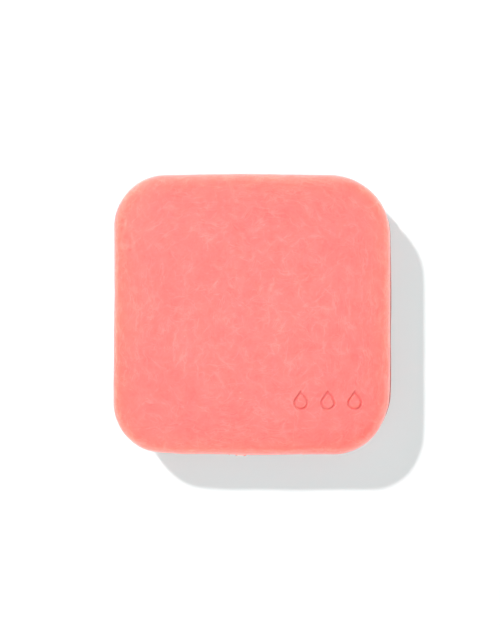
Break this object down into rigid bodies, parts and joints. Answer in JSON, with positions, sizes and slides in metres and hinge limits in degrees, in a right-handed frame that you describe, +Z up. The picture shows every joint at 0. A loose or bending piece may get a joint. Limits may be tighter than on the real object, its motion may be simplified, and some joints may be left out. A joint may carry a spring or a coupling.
{
  "type": "shampoo bar",
  "caption": "Square block of solid shampoo with rounded corners and soft shoulders, pressed in one piece, with a small mark sunk in its top face.",
  "frame": {"origin": "middle of the flat resting face", "axes": "+Z up out of the top face, +X across the width to the right, +Y from the front side, nearest the sunk mark, to the back side"},
  "size_m": [0.06, 0.0606, 0.019],
  "materials": {
    "washing_paste": "satin"
  },
  "bodies": {
    "root": {"shampoo_bar": "washing_paste"}
  },
  "joints": []
}
